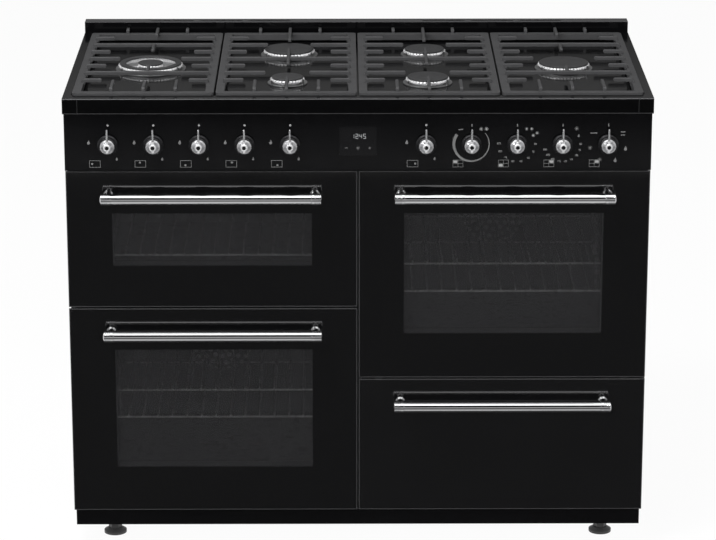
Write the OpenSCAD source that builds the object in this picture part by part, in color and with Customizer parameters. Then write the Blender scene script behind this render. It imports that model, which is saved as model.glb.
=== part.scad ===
// Range cooker: gas hob with six burners over two main ovens, a grill oven and a storage drawer.
// X runs to the right, Y to the back, Z up. The origin is on the floor under the middle of the box.

/* [Overall] */
// Width of the worktop
worktop_w = 1100; // [1060:1:1200]
// Depth of the worktop from the front edge to the wall
worktop_d = 600; // [590:1:660]
// Height of the worktop above the floor
worktop_h = 900; // [880:1:940]
// Height of the levelling feet
feet_h = 40; // [30:1:60]
// Thickness of the sheet steel of the casing
sheet = 2; // [1.5:0.1:3]
// Clearance between pieces that only touch
seat_gap = 0.3; // [0.2:0.05:0.4]

/* [Worktop] */
// Height of the folded front edge of the worktop
nose_h = 29; // [24:1:36]
// Width of the flat border at each side of the hob well
border_side = 15; // [12:1:22]
// Depth of the flat border in front of the hob well
border_front = 27; // [22:1:34]
// Depth of the hob well below the border
well_depth = 12; // [8:1:16]
// Radius of the corners of the hob well
well_corner_r = 10; // [6:1:16]
// Depth of the rear upstand
upstand_d = 32; // [28:1:44]
// Height of the rear upstand above the worktop
upstand_h = 21.5; // [15:0.5:30]
// Length of one vent slot in the upstand
vent_l = 88; // [60:1:90]
// Width of one vent slot
vent_w = 8; // [6:0.5:10]
// Distance between the middles of neighbouring vent slots
vent_pitch = 98; // [96:1:110]
// Distance from the middle of the cooker to the middle of a group of slots
vent_group_x = 275; // [240:1:300]

/* [Front] */
// How far the control panel stands back from the worktop's front edge
panel_set = 12; // [8:1:16]
// How far the door faces stand back from the worktop's front edge
door_set = 20; // [18:1:24]
// How far the door faces stop short of the cooker's full width on each side
door_inset = 1.5; // [1:0.5:4]
// Gap between neighbouring door and drawer faces, and above and below them
door_gap = 3.5; // [3.2:0.1:5]
// Gap between the left and the right column of doors
column_gap = 3; // [2:0.5:5]
// Height of the control panel
panel_h = 111.5; // [108:0.5:125]
// Height of the grill oven's door
grill_door_h = 266; // [255:1:275]
// Height of the right oven's door
oven_door_h = 408; // [400:1:420]
// Height of the drawer's face
drawer_face_h = 266; // [240:1:300]
// Height of the base rail under the doors
plinth_h = 34; // [28:1:40]
// How far the base rail stands back from the door faces
plinth_set = 20; // [12:1:30]

/* [Doors] */
// Thickness of the outer glass
glass_t = 4; // [3.5:0.1:4.4]
// Thickness of the inner glass
inner_glass_t = 4; // [3:0.5:5]
// Thickness of a door's steel frame behind the glass
frame_t = 34; // [30:1:38]
// How far the steel frame stops short of the glass at each edge
frame_inset = 6; // [5:1:9]
// Width of an oven window
window_w = 376; // [330:1:390]
// Height of the grill oven's window
grill_window_h = 103; // [90:1:110]
// Height of the window of each main oven
oven_window_h = 238; // [200:1:244]
// Drop from a door's top edge to the top of its window
window_drop = 82; // [76:1:90]
// Distance of the hinge axis behind the door's face
hinge_set = 7.2; // [6.8:0.1:7.4]
// Height of the hinge axis above the door's bottom edge
hinge_rise = 10; // [9:0.5:11]
// Radius of the hinge pins
hinge_pin_r = 2.5; // [2:0.1:2.6]
// Distance from a door's side edge to the middle of a hinge
hinge_inset = 38.5; // [36.5:0.5:48]
// Width of a hinge arm
hinge_w = 12; // [10:1:16]
// Radial clearance of a pin or shaft that turns in its hole
running_gap = 0.05; // [0.02:0.01:0.09]

/* [Handles] */
// Length of a handle from end to end
handle_l = 414; // [380:1:440]
// Radius of the handle bar
bar_r = 10.75; // [9:0.25:12]
// Distance from the glass to the axis of the bar
bar_standoff = 33; // [30:1:40]
// Drop from a door's top edge to the axis of its handle
handle_drop = 45.5; // [40:0.5:56]
// Length of the collar at each end of the bar
collar_l = 20; // [14:1:22]
// Distance between the middles of the two posts
post_span = 388; // [360:1:392]
// Radius of a handle post
post_r = 7; // [5:0.5:8]

/* [Ovens] */
// Inside width of each oven cavity
cavity_w = 418; // [400:1:424]
// Inside depth of each oven cavity
cavity_d = 400; // [360:1:404]
// Inside height of the grill oven
grill_cavity_h = 184; // [170:1:186]
// Inside height of each main oven
oven_cavity_h = 325; // [300:1:328]
// Drop from a door's top edge to the top of its cavity
cavity_drop = 42; // [40:1:46]
// Thickness of the enamelled cavity walls
cavity_t = 2; // [1.5:0.1:2.5]
// Radius of the inner corners of a cavity
cavity_r = 12; // [8:1:18]
// Distance from the door faces to the front frame
frame_set = 45; // [44:1:50]
// Diameter of the wires of the oven racks
wire_d = 4; // [3:0.5:5]
// Number of bars across an oven rack
rack_bars = 15; // [9:2:21]
// Radius of the oven fans
fan_r = 75; // [60:1:80]
// Number of blades of an oven fan
fan_blades = 12; // [8:1:16]
// Gap between the fan's cover plate and the cavity's back wall
fan_space = 34; // [30:1:40]

/* [Knobs] */
// Drop from the worktop's top to the knob axes
knob_drop = 90; // [86:1:94]
// Distance from an end of the panel to the nearest knob axis
knob_end = 81.5; // [75:0.5:90]
// Distance between neighbouring knobs
knob_pitch = 85; // [80:1:88]
// Radius of the knob's skirt
knob_skirt_r = 19.5; // [17:0.5:22]
// Radius of the knob's grip
knob_grip_r = 13.5; // [11:0.5:15]
// Radius of the round boss at the front of the knob
knob_boss_r = 6.4; // [5:0.1:8]
// Depth of a knob from the panel to its front
knob_d = 30; // [26:1:34]
// Radius of a knob's lever pin
lever_r = 2; // [1.5:0.1:3]
// Distance from a knob's axis to the tip of its lever pin
lever_reach = 34; // [28:1:38]
// Radius of the spindles that carry the knobs
spindle_r = 4; // [3:0.5:5]
// How far a gas knob is pushed in to light its burner
push_travel = 4; // [3:0.5:5]
// Width of the clock window
clock_w = 70; // [60:1:80]
// Height of the clock window
clock_h = 54; // [44:1:60]
// Drop from the worktop's top to the top of the clock window
clock_drop = 57; // [50:1:60]

/* [Pan supports] */
// Gap between neighbouring pan supports
grate_gap = 3.5; // [1.5:0.5:5]
// Gap between the pan supports and the side of the hob well
grate_side_gap = 1.5; // [1:0.5:3]
// Height of the pan rest above the worktop
grate_h = 12; // [10:1:18]
// Height of a pan support's frame above the worktop
grate_frame_h = 4; // [2:0.5:6]
// Width of the bars that frame a pan support
grate_frame_w = 16; // [13:1:18]
// Radius of the outer corners of that frame
grate_corner_r = 8; // [4:1:10]
// Width of the fingers that run across a pan support
finger_w = 7; // [5.5:0.5:10]
// Width of the prongs that run from front to back
prong_w = 6; // [5:0.5:9]
// Depth of a finger
finger_h = 7; // [6:0.5:9]
// Distance between neighbouring fingers
finger_pitch = 60; // [56:1:62]
// Gap left between the long fingers over a middle burner
burner_gap = 84; // [76:1:92]
// Gap left between the long fingers over a side burner
wok_gap = 118; // [112:1:124]

/* [Burners] */
// Radius of the large double-ring burner
wok_r = 63; // [58:1:66]
// Radius of the rapid burners
rapid_r = 51; // [46:1:54]
// Radius of the medium burners
medium_r = 42; // [38:1:45]
// Radius of the small burner
small_r = 33; // [28:1:35]
// Height of a burner's crown above its base disc
crown_h = 8; // [7:0.5:10]
// Thickness of a burner cap at its rim
cap_t = 3; // [2:0.5:4]

/* [Drawer] */
// Inside width of the drawer
drawer_w = 440; // [400:1:460]
// Inside depth of the drawer from front to back
drawer_d = 430; // [380:1:450]
// Inside height of the drawer
drawer_h = 150; // [120:1:170]
// How far the drawer slides out
drawer_travel = 400; // [300:1:420]

/* [Hidden] */
GAS = [1, 2, 3, 4, 5, 6];
SUPPORTS = ["far_left", "mid_left", "mid_right", "far_right"];
FIXED = [
    "side_panels", "back_panel", "front_frame", "base_pan", "plinth", "levelling_feet",
    "worktop", "rear_upstand", "control_panel", "clock",
    "grill_oven_cavity", "left_oven_cavity", "right_oven_cavity",
    "door_seals", "hinge_brackets", "oven_racks",
    "burner_cups", "burner_crowns", "burner_caps", "gas_rail", "oven_controls",
    "heating_elements", "fan_covers", "fan_motors", "drawer_runners"
];
MOVING = [
    "left_oven_fan", "right_oven_fan",
    "grill_door_glass", "grill_door_frame", "grill_door_handle",
    "left_door_glass", "left_door_frame", "left_door_handle",
    "right_door_glass", "right_door_frame", "right_door_handle",
    "drawer_front", "drawer_box", "drawer_handle"
];
$fn = 48;

enamel = [0.03, 0.03, 0.033];
steel = [0.62, 0.63, 0.65];
chrome = [0.8, 0.8, 0.82];
iron = [0.09, 0.09, 0.095];
brass = [0.75, 0.6, 0.3];
cut = 1;

// Depth planes, from the worktop's front edge at nose_y back to the wall at back_y
handle_out = bar_standoff + bar_r - door_set;
nose_y = -(worktop_d + handle_out) / 2 + handle_out;
back_y = nose_y + worktop_d;
panel_y = nose_y + panel_set;
face_y = nose_y + door_set;
front_y = face_y + frame_set;
rear_sheet_y = back_y - 14;
upstand_y = back_y - upstand_d;

// Heights
body_x = worktop_w / 2 - door_inset - sheet;
face_x = worktop_w / 2 - door_inset;
worktop_under_z = worktop_h - nose_h;
panel_top_z = worktop_under_z - seat_gap;
panel_bottom_z = panel_top_z - panel_h;
door_top_z = panel_bottom_z - door_gap;
well_z = worktop_h - well_depth;
face_bottom_z = door_top_z - oven_door_h - door_gap - drawer_face_h;
grill_bottom_z = door_top_z - grill_door_h;
left_top_z = grill_bottom_z - door_gap;
left_door_h = left_top_z - face_bottom_z;
right_bottom_z = door_top_z - oven_door_h;
drawer_top_z = right_bottom_z - door_gap;
plinth_top_z = face_bottom_z - 4;
base_z = feet_h;
column_w = face_x - column_gap / 2;
hinge_x = column_w / 2 - hinge_inset;
column_x = (face_x + column_gap / 2) / 2;

// Doors, as [middle x, bottom z, height, window height, cavity height]
GRILL = [-column_x, grill_bottom_z, grill_door_h, grill_window_h, grill_cavity_h];
LEFT = [-column_x, face_bottom_z, left_door_h, oven_window_h, oven_cavity_h];
RIGHT = [column_x, right_bottom_z, oven_door_h, oven_window_h, oven_cavity_h];
OVENS = [GRILL, LEFT, RIGHT];
function door_top(o) = o[1] + o[2];
function cavity_top(o) = door_top(o) - cavity_drop;
function cavity_bottom(o) = cavity_top(o) - o[4];
cavity_back_y = front_y + sheet + cavity_d;
cover_y = cavity_back_y - fan_space;

// Knobs, numbered from the left; the first six work the gas taps
knob_z = worktop_h - knob_drop;
knob_end_x = face_x - knob_end;
function knob_x(k) = k <= 5 ? (k - 1) * knob_pitch - knob_end_x : knob_end_x - (10 - k) * knob_pitch;
spindle_hole_r = spindle_r + 1.5;
knob_skirt_gap = 1;
plug_r = 7;
plug_y = panel_y + 24;
plug_l = 26;
tap_l = 36;
tap_back_y = plug_y + tap_l;
rail_r = 9;
rail_y = tap_back_y + rail_r - 1;

// Pan supports and burners
grate_w = (worktop_w - 2 * (border_side + grate_side_gap) - 3 * grate_gap) / 4;
grate_front_y = nose_y + border_front + 3;
grate_back_y = upstand_y - 6;
grate_back_set = 14;
grate_mid_y = (grate_front_y + grate_back_y) / 2;
grate_d = grate_back_y - grate_front_y;
function grate_x(i) = (i - 1.5) * (grate_w + grate_gap);
rest_z = worktop_h + grate_h;
frame_top_z = worktop_h + grate_frame_h;
burner_y = 2 * finger_pitch;
BURNERS = [
    [grate_x(0), grate_mid_y, wok_r],
    [grate_x(1), grate_mid_y + burner_y, rapid_r],
    [grate_x(1), grate_mid_y - burner_y, small_r],
    [grate_x(2), grate_mid_y + burner_y, medium_r],
    [grate_x(2), grate_mid_y - burner_y, medium_r],
    [grate_x(3), grate_mid_y, rapid_r]
];
base_disc_t = 2;
crown_z = well_z + seat_gap + base_disc_t + seat_gap;
cup_throat_r = 20;
cup_depth = 44;
burner_hole_r = cup_throat_r + 2;

// A box from its low corner to its high corner
module span(lo, hi) {
    translate(lo) cube(hi - lo);
}

// A flat plate with rounded corners, centred, in the XY plane
module rounded_plate(w, d, r, h) {
    linear_extrude(h) rounded_rect(w, d, r);
}

module rounded_rect(w, d, r) {
    square([w - 2 * r, d], center = true);
    square([w, d - 2 * r], center = true);
    for (x = [-1, 1], y = [-1, 1])
        translate([x * (w / 2 - r), y * (d / 2 - r)]) circle(r);
}

// A cylinder along Y whose low end is at y
module rod_y(r, y, l, x = 0, z = 0) {
    translate([x, y, z]) rotate([-90, 0, 0]) cylinder(r = r, h = l);
}

// A cylinder along X centred on x
module rod_x(r, x, l, y, z) {
    translate([x - l / 2, y, z]) rotate([0, 90, 0]) cylinder(r = r, h = l);
}

// A rounded tunnel along Y, in front elevation centred on x and z
module tunnel_y(w, h, r, y, l, x, z) {
    translate([x, y + l, z]) rotate([90, 0, 0]) rounded_plate(w, h, r, l);
}

// Casing: the outer sides, each folded in at the front and the back
side_flange = 20;
module side_panels() {
    color(enamel) for (s = [-1, 1])
        scale([s, 1, 1]) difference() {
            span([body_x - side_flange, front_y, base_z], [body_x + sheet, rear_sheet_y, panel_top_z]);
            span([body_x - side_flange - cut, front_y + sheet, base_z - cut],
                [body_x, rear_sheet_y - sheet, panel_top_z + cut]);
        }
}

// The back sheet with its vents, inlet hole, cable hole and restraint holes
inlet_x = 470;
inlet_z = knob_z;
inlet_r = 10.48;
inlet_hole_r = 13;
cable_x = -470;
cable_drop = 110;
cable_z = worktop_h - cable_drop;
cable_hole_r = 10;
restraint_x = 400;
restraint_z = 220;
restraint_hole_r = 3.5;
louvre = [110, 6];
louvre_pitch_x = 160;
louvre_pitch_z = 24;
louvre_z = 560;
module back_panel() {
    color(steel) difference() {
        span([-body_x - sheet, rear_sheet_y + seat_gap, base_z],
            [body_x + sheet, rear_sheet_y + seat_gap + sheet, panel_top_z]);
        rod_y(inlet_hole_r, rear_sheet_y - cut, sheet + 3 * cut, inlet_x, inlet_z);
        rod_y(cable_hole_r, rear_sheet_y - cut, sheet + 3 * cut, cable_x, cable_z);
        for (s = [-1, 1])
            rod_y(restraint_hole_r, rear_sheet_y - cut, sheet + 3 * cut, s * restraint_x, restraint_z);
        for (x = [-2:2], i = [0:5])
            translate([x * louvre_pitch_x, rear_sheet_y, louvre_z + i * louvre_pitch_z])
                cube([louvre[0], 4 * sheet, louvre[1]], center = true);
    }
}

// The front frame, with a mouth for each cavity and for the drawer
mouth_play = 1;
mouth_lip = 3;
drawer_mid_z = (drawer_top_z + face_bottom_z) / 2;
drawer_mouth_w = drawer_w + 26;
drawer_mouth_h = drawer_face_h - 40;
module front_frame() {
    color(enamel) difference() {
        span([-body_x + seat_gap, front_y - sheet - seat_gap, base_z + sheet + seat_gap],
            [body_x - seat_gap, front_y - seat_gap, panel_bottom_z - seat_gap]);
        for (o = OVENS)
            tunnel_y(cavity_w + 2 * mouth_lip, o[4] + 2 * mouth_lip, cavity_r + mouth_lip,
                front_y - 3 * sheet, 6 * sheet, o[0], cavity_top(o) - o[4] / 2);
        translate([column_x, front_y, drawer_mid_z])
            cube([drawer_mouth_w, 8 * sheet, drawer_mouth_h], center = true);
        for (o = OVENS, s = [-1, 1])
            translate([o[0] + s * hinge_x, front_y, o[1] + hinge_rise])
                cube([hinge_w + 2 * mouth_play, 8 * sheet, 16], center = true);
    }
}

// The bottom tray, with its raised rim and the threaded blocks for the feet
foot_inset = 70;
foot_x = body_x - foot_inset;
foot_half_y = 220;
foot_mid_y = (front_y + rear_sheet_y) / 2;
foot_stem_r = 5;
foot_block_h = 16;
foot_pad = 22;
foot_pad_t = 5;
foot_hex_r = 13;
foot_hex_h = 10;
module base_pan() {
    rim = 18;
    color(steel) {
        difference() {
            span([-body_x + seat_gap, front_y + sheet + seat_gap, base_z],
                [body_x - seat_gap, rear_sheet_y - sheet - seat_gap, base_z + rim]);
            span([-body_x + seat_gap + sheet, front_y + 2 * sheet + seat_gap, base_z + sheet],
                [body_x - seat_gap - sheet, rear_sheet_y - 2 * sheet - seat_gap, base_z + rim + cut]);
            foot_places() translate([0, 0, base_z - cut]) cylinder(r = foot_stem_r, h = rim);
        }
        foot_places() translate([0, 0, base_z + sheet]) difference() {
            cylinder(r = 12, h = foot_block_h);
            translate([0, 0, -cut]) cylinder(r = foot_stem_r, h = foot_block_h + 2 * cut);
        }
    }
}

module foot_places() {
    for (x = [-1, 1], y = [-1, 1])
        translate([x * foot_x, foot_mid_y + y * foot_half_y, 0]) children();
}

// Four screw feet: a pad, a hexagon to turn it by, and a stem in the base pan
module levelling_feet() {
    color(iron) foot_places() {
        cylinder(r = foot_pad, h = foot_pad_t);
        translate([0, 0, foot_pad_t]) cylinder(r1 = foot_pad, r2 = foot_hex_r + 1, h = foot_pad_t);
        translate([0, 0, 2 * foot_pad_t]) cylinder(r = foot_hex_r, h = foot_hex_h, $fn = 6);
        translate([0, 0, 2 * foot_pad_t + foot_hex_h])
            cylinder(r = foot_stem_r - 0.02, h = base_z + sheet + foot_block_h + 4 - 2 * foot_pad_t - foot_hex_h);
    }
}

// The base rail under the doors, folded back along its lower edge
module plinth() {
    rail_y0 = face_y + plinth_set;
    color(enamel) {
        span([-body_x, rail_y0, plinth_top_z - plinth_h], [body_x, rail_y0 + sheet, plinth_top_z]);
        span([-body_x, rail_y0, plinth_top_z - plinth_h],
            [body_x, front_y - sheet - 2 * seat_gap, plinth_top_z - plinth_h + sheet]);
        for (s = [-1, 1])
            span([s * (body_x - 40) - 8, rail_y0, plinth_top_z - plinth_h],
                [s * (body_x - 40) + 8, front_y - sheet - 2 * seat_gap, plinth_top_z - 6]);
    }
}

// The hob: a folded sheet with a shallow well and a hole under each burner
module worktop() {
    well_w = worktop_w - 2 * border_side;
    well_y = nose_y + border_front;
    well_back = upstand_y - 3;
    color(enamel) difference() {
        span([-worktop_w / 2, nose_y, worktop_under_z], [worktop_w / 2, upstand_y, worktop_h]);
        // the hollow underneath
        span([-worktop_w / 2 + sheet, nose_y + sheet, worktop_under_z - cut],
            [worktop_w / 2 - sheet, upstand_y - sheet, well_z - sheet]);
        translate([0, (well_y + well_back) / 2, well_z])
            rounded_plate(well_w, well_back - well_y, well_corner_r, well_depth + cut);
        for (b = BURNERS)
            translate([b[0], b[1], well_z - 2 * sheet]) cylinder(r = burner_hole_r, h = 4 * sheet);
    }
}

// The upstand at the back, a folded box with six long vents in its top
module rear_upstand() {
    low_z = worktop_under_z;
    top_z = worktop_h + upstand_h;
    color(enamel) difference() {
        span([-worktop_w / 2, upstand_y + seat_gap, low_z], [worktop_w / 2, back_y, top_z]);
        span([-worktop_w / 2 + sheet, upstand_y + seat_gap + sheet, low_z - cut],
            [worktop_w / 2 - sheet, back_y - sheet, top_z - sheet]);
        for (s = [-1, 1], i = [-1:1])
            translate([s * vent_group_x + i * vent_pitch, (upstand_y + back_y) / 2, top_z - sheet - cut])
                linear_extrude(sheet + 2 * cut) slot(vent_l, vent_w);
    }
}

module slot(l, w) {
    square([l - w, w], center = true);
    for (s = [-1, 1]) translate([s * (l - w) / 2, 0]) circle(w / 2);
}

// The control panel, a folded sheet with ten spindle holes and the clock's window
module control_panel() {
    color(enamel) difference() {
        span([-face_x, panel_y, panel_bottom_z], [face_x, front_y - seat_gap, panel_top_z]);
        span([-face_x + sheet, panel_y + sheet, panel_bottom_z + sheet],
            [face_x - sheet, front_y + cut, panel_top_z + cut]);
        for (k = [1:10])
            rod_y(spindle_hole_r, panel_y - cut, sheet + 2 * cut, knob_x(k), knob_z);
        translate([0, panel_y, worktop_h - clock_drop - clock_h / 2])
            cube([clock_w, 4 * sheet, clock_h], center = true);
    }
}

// The clock: a dark window set in the panel and its circuit box behind
clock_rim = 8;
clock_box_d = 26;
module clock() {
    mid_z = worktop_h - clock_drop - clock_h / 2;
    color([0.02, 0.02, 0.025]) {
        span([-clock_w / 2 + seat_gap, panel_y, mid_z - clock_h / 2 + seat_gap],
            [clock_w / 2 - seat_gap, panel_y + sheet + 3, mid_z + clock_h / 2 - seat_gap]);
        span([-clock_w / 2 - clock_rim, panel_y + sheet, mid_z - clock_h / 2 + 2],
            [clock_w / 2 + clock_rim, panel_y + sheet + clock_box_d, mid_z + clock_h / 2 + clock_rim - 2]);
    }
}

// Oven cavities: an enamelled box with a flange round its mouth
mouth_flange = 8;
shaft_r = 4;
shaft_hole_r = 6;
module cavity(o, fan = true) {
    mid_z = cavity_top(o) - o[4] / 2;
    color([0.13, 0.13, 0.14]) difference() {
        union() {
            tunnel_y(cavity_w + 2 * mouth_flange, o[4] + 2 * mouth_flange, cavity_r + mouth_flange,
                front_y, sheet, o[0], mid_z);
            tunnel_y(cavity_w + 2 * cavity_t, o[4] + 2 * cavity_t, cavity_r + cavity_t,
                front_y, cavity_back_y + cavity_t - front_y, o[0], mid_z);
        }
        tunnel_y(cavity_w, o[4], cavity_r, front_y - cut, cavity_back_y - front_y + cut, o[0], mid_z);
        if (fan) rod_y(shaft_hole_r, cavity_back_y - cut, cavity_t + 2 * cut, o[0], mid_z);
    }
}
module grill_oven_cavity() { cavity(GRILL, fan = false); }
module left_oven_cavity() { cavity(LEFT); }
module right_oven_cavity() { cavity(RIGHT); }

// Door seals: a flat gasket round each mouth, on the front frame
seal_w = 7;
seal_margin = 4;
frame_back_y = face_y + glass_t + frame_t;
frame_front_y = front_y - sheet - seat_gap;
module door_seals() {
    color([0.2, 0.2, 0.2]) for (o = OVENS) {
        mid_z = cavity_top(o) - o[4] / 2;
        difference() {
            tunnel_y(cavity_w + 2 * (seal_margin + seal_w), o[4] + 2 * (seal_margin + seal_w),
                cavity_r + seal_w, frame_back_y + seat_gap, frame_front_y - frame_back_y - seat_gap,
                o[0], mid_z);
            tunnel_y(cavity_w + 2 * seal_margin, o[4] + 2 * seal_margin, cavity_r,
                frame_back_y - cut, frame_front_y - frame_back_y + 2 * cut, o[0], mid_z);
        }
    }
}

// Hinge brackets: a plate behind the front frame, an arm through it and a pin across its end
hinge_arm_h = 5.6;
hinge_pin_l = 9;
hinge_play = 1;
hinge_plate_w = hinge_w + 18;
hinge_plate_h = 28;
hinge_plate_t = 3;
pivot_y = face_y + hinge_set;
module hinge_brackets() {
    color(steel) for (o = OVENS, s = [-1, 1]) {
        x = o[0] + s * hinge_x;
        z = o[1] + hinge_rise;
        span([x - hinge_plate_w / 2, front_y, z - hinge_plate_h / 2],
            [x + hinge_plate_w / 2, front_y + hinge_plate_t, z + hinge_plate_h / 2]);
        span([x - hinge_w / 2, pivot_y, z - hinge_arm_h / 2],
            [x + hinge_w / 2, front_y + hinge_plate_t, z + hinge_arm_h / 2]);
        rod_x(hinge_arm_h / 2, x, hinge_w, pivot_y, z);
        rod_x(hinge_pin_r, x, hinge_w + 2 * hinge_pin_l, pivot_y, z);
    }
}

// Oven racks on their side ladders, as heights above the cavity floor
RACK_LEVELS = [[43], [126, 181], [111, 166]];
ladder_t = 7;
rack_front_y = front_y + 22;
rack_half = cavity_w / 2 - ladder_t - wire_d / 2;
module wire_x(x0, x1, y, z) {
    translate([x0, y, z]) rotate([0, 90, 0]) cylinder(d = wire_d, h = x1 - x0, $fn = 8);
}
module wire_y(y0, y1, x, z) {
    translate([x, y0, z]) rotate([-90, 0, 0]) cylinder(d = wire_d, h = y1 - y0, $fn = 8);
}
module wire_z(z0, z1, x, y) {
    translate([x, y, z0]) cylinder(d = wire_d, h = z1 - z0, $fn = 8);
}
module rack(x, z, back_y) {
    half = rack_half;
    for (y = [rack_front_y, back_y]) wire_x(x - half, x + half, y, z);
    for (i = [0:rack_bars - 1])
        wire_y(rack_front_y, back_y, x - half + wire_d / 2 + i * (2 * half - wire_d) / (rack_bars - 1), z);
}
module oven_racks() {
    color(chrome) for (i = [0:2]) {
        o = OVENS[i];
        back_y = i == 0 ? cavity_back_y - 12 : cover_y - 12;
        floor_z = cavity_bottom(o);
        for (level = RACK_LEVELS[i]) rack(o[0], floor_z + level, back_y);
        for (s = [-1, 1]) ladder(o, s, floor_z, RACK_LEVELS[i], back_y);
    }
}
// A ladder: two uprights on the side wall and a pair of rails at each level
module ladder(o, s, floor_z, levels, back_y) {
    wall_x = o[0] + s * (cavity_w / 2 - seat_gap - wire_d / 2);
    rail_x = o[0] + s * (rack_half - wire_d / 2);
    for (y = [rack_front_y + 30, back_y - 30])
        wire_z(floor_z + 20, cavity_top(o) - 30, wall_x, y);
    for (level = levels, up = [-wire_d - seat_gap, wire_d + 10]) {
        wire_y(rack_front_y + 10, back_y - 10, rail_x, floor_z + level + up);
        for (y = [rack_front_y + 30, back_y - 30])
            wire_x(min(wall_x, rail_x), max(wall_x, rail_x), y, floor_z + level + up);
    }
}

// Burner cups: a base disc on the hob and a throat under it, with igniter and flame sensor
cup_t = 3;
igniter_r = 2.6;
sensor_r = 1.9;
pin_angle = 35;
module burner_cups() {
    color(steel) for (b = BURNERS) translate([b[0], b[1], 0]) {
        difference() {
            union() {
                translate([0, 0, well_z + seat_gap]) cylinder(r = b[2] + 5, h = base_disc_t);
                translate([0, 0, well_z - cup_depth])
                    cylinder(r = cup_throat_r, h = cup_depth + seat_gap + base_disc_t);
            }
            translate([0, 0, well_z - cup_depth + cup_t])
                cylinder(r = cup_throat_r - cup_t, h = cup_depth + base_disc_t + cut);
        }
        for (pin = [[-pin_angle, igniter_r, crown_h + 2], [180 + pin_angle, sensor_r, crown_h]])
            rotate(pin[0]) translate([b[2] + 2.8, 0, well_z + seat_gap + base_disc_t])
                cylinder(r = pin[1] * 0.8, h = pin[2]);
    }
}

// Burner crowns: a ring with flame ports cut round its rim, open in the middle over the throat
port_w = 1.6;
port_depth = 3.5;
port_pitch = 7;
crown_wall = 8;
crown_flare = 5.5;
module crown(r) {
    ports = round(2 * PI * r / port_pitch);
    difference() {
        rotate_extrude() polygon([
            [r - crown_wall, 0], [r - crown_flare, 0], [r - 1, crown_h * 0.5], [r, crown_h * 0.6],
            [r - 0.6, crown_h - 0.8], [r - 1.6, crown_h],
            [r - crown_wall, crown_h]
        ]);
        for (i = [0:ports - 1]) rotate(i * 360 / ports)
            translate([r - crown_wall - cut, -port_w / 2, crown_h - port_depth])
                cube([crown_wall + 2 * cut, port_w, port_depth + cut]);
    }
}
inner_ring_share = 0.4;
spoke_w = 8;
spoke_h = 2.5;
module burner_crowns() {
    color(chrome) for (b = BURNERS) translate([b[0], b[1], crown_z]) {
        crown(b[2]);
        if (b[2] == wok_r) {
            crown(wok_r * inner_ring_share);
            inner = wok_r * inner_ring_share - crown_flare - 1;
            for (a = [0:90:270]) rotate(a)
                translate([inner, -spoke_w / 2, 0]) cube([wok_r - crown_wall + 1 - inner, spoke_w, spoke_h]);
        }
    }
}

// Burner caps: a low dome with a rounded rim, and on the double ring an annular outer cap
cap_z = crown_z + crown_h + seat_gap;
cap_inset = 3;
cap_dome = 1;
module cap(r) {
    rotate_extrude() polygon([
        [0, 0], [r - 1, 0], [r, 0.8], [r, cap_t - 1], [r - 1.2, cap_t], [r * 0.6, cap_t + cap_dome * 0.7],
        [0, cap_t + cap_dome]
    ]);
}
module ring_cap(r, inner_r) {
    rotate_extrude() polygon([
        [inner_r, 0], [r - 1, 0], [r, 0.8], [r, cap_t - 1], [r - 1.2, cap_t], [inner_r + 1.2, cap_t],
        [inner_r, cap_t - 1]
    ]);
}
module burner_caps() {
    color(iron) for (b = BURNERS) translate([b[0], b[1], cap_z])
        if (b[2] == wok_r) {
            ring_cap(wok_r - cap_inset, wok_r - crown_wall - cap_inset - 4);
            cap(wok_r * inner_ring_share - 1);
        } else cap(b[2] - cap_inset);
}

// Gas rail across the back of the panel, with a tap behind each gas knob and the inlet at the rear
rail_bore_r = 7;
tap_r = 12;
inlet_stub_l = 30;
plug_hole_r = plug_r + running_gap;
module gas_rail() {
    color(brass) {
        difference() {
            union() {
                rod_x(rail_r, 0, 2 * (body_x - seat_gap), rail_y, knob_z);
                for (k = GAS) rod_y(tap_r, plug_y, tap_l + 1, knob_x(k), knob_z);
                for (k = GAS)
                    translate([knob_x(k), plug_y + tap_l - 12, knob_z]) cylinder(r = 6, h = tap_r + 10);
                rod_y(rail_bore_r, rail_y, rear_sheet_y - rail_y, inlet_x, inlet_z);
                rod_y(inlet_r, back_y - 1 - inlet_stub_l, inlet_stub_l, inlet_x, inlet_z);
            }
            for (k = GAS) rod_y(plug_hole_r, plug_y - cut, plug_l + 2, knob_x(k), knob_z);
            rod_y(inlet_r - 3, back_y - 1 - inlet_stub_l + 6, inlet_stub_l, inlet_x, inlet_z);
        }
    }
}

// Thermostats and switches behind the four right-hand knobs
control_r = 19;
control_l = 42;
control_strap = 48;
tag_pitch = 10;
tag = [6, 12, 8];
shaft_bore_r = spindle_r + running_gap;
shaft_bore_l = 32;
module oven_controls() {
    color([0.75, 0.75, 0.72]) for (k = [7:10]) difference() {
        union() {
            rod_y(control_r, panel_y + sheet + 4, control_l, knob_x(k), knob_z);
            span([knob_x(k) - control_strap / 2, panel_y + sheet + seat_gap, knob_z - 10],
                [knob_x(k) + control_strap / 2, panel_y + sheet + 4, knob_z + 10]);
            for (i = [-1:1]) translate([knob_x(k) + i * tag_pitch - tag[0] / 2,
                panel_y + sheet + 2 + control_l, knob_z - tag[2] / 2]) cube(tag);
        }
        rod_y(shaft_bore_r, panel_y - cut, shaft_bore_l, knob_x(k), knob_z);
    }
}

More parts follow.
